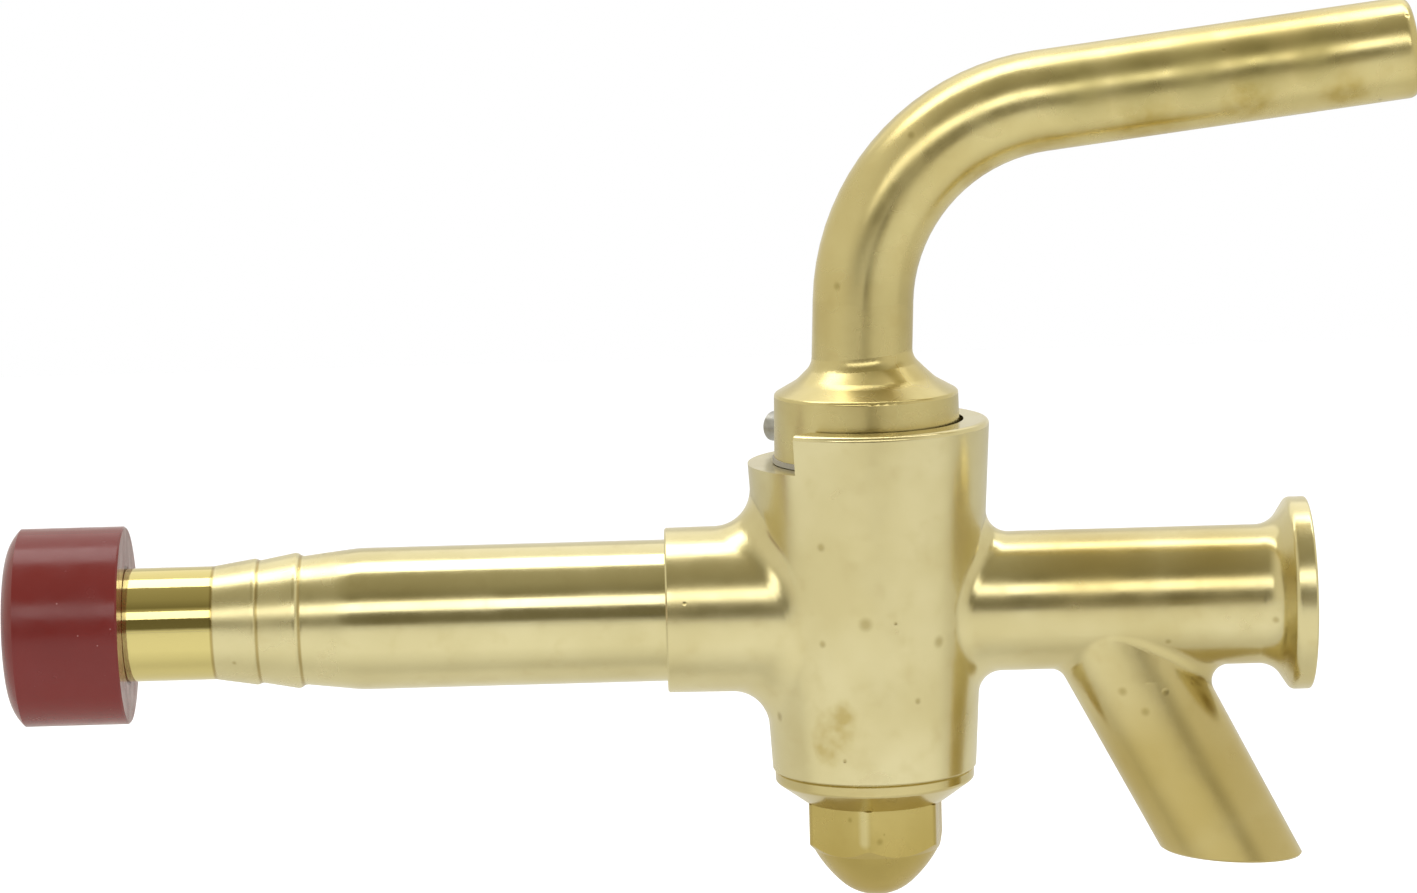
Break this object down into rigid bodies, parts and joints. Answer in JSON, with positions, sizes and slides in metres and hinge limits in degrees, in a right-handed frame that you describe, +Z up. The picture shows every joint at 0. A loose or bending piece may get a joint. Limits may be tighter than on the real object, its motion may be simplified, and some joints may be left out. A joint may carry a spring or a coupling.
{
  "type": "flow control beer tap",
  "caption": "Brass keg tap with a barbed inlet tube, tapered plug turned by a bent rod handle, slanted spout, striking flange and a red plastic tip cap.",
  "frame": {"origin": "on the flow axis, where the inlet tube meets the face of the body's socket", "axes": "+X along the flow axis from the inlet to the striking flange, +Z up along the plug's axis, -Y towards the side shown in the picture"},
  "size_m": [0.2436, 0.0418, 0.1528],
  "materials": {
    "cast_brass": "cast, ground and hand polished",
    "turned_brass": "turned and mirror polished",
    "gasket_rubber": "moulded",
    "handle_brass": "cast, ground and hand polished",
    "pin_steel": "drawn steel, dull",
    "grey_rubber": "moulded",
    "washer_brass": "turned and polished",
    "nut_brass": "turned, satin",
    "red_plastic": "moulded, glossy"
  },
  "bodies": {
    "body": {"tap_body": "cast_brass", "inlet_socket": "cast_brass", "outlet_arm": "cast_brass", "outlet_spout": "cast_brass", "inlet_tube": "turned_brass", "inlet_gasket": "gasket_rubber"},
    "plug": {"plug_handle": "handle_brass", "stop_pin": "pin_steel", "seal_ring": "grey_rubber", "thrust_washer": "washer_brass", "dome_nut": "nut_brass"},
    "cap": {"tip_cap": "red_plastic"}
  },
  "joints": [
    {"name": "handle_turn", "type": "hinge", "parent": "body", "child": "plug", "pos_m": [0.0353, 0, 0], "axis": [0, 0, 1], "range_deg": [0, 88]},
    {"name": "cap_pull", "type": "slide", "parent": "body", "child": "cap", "axis": [-1, 0, 0], "range_m": [0, 0.12]}
  ]
}
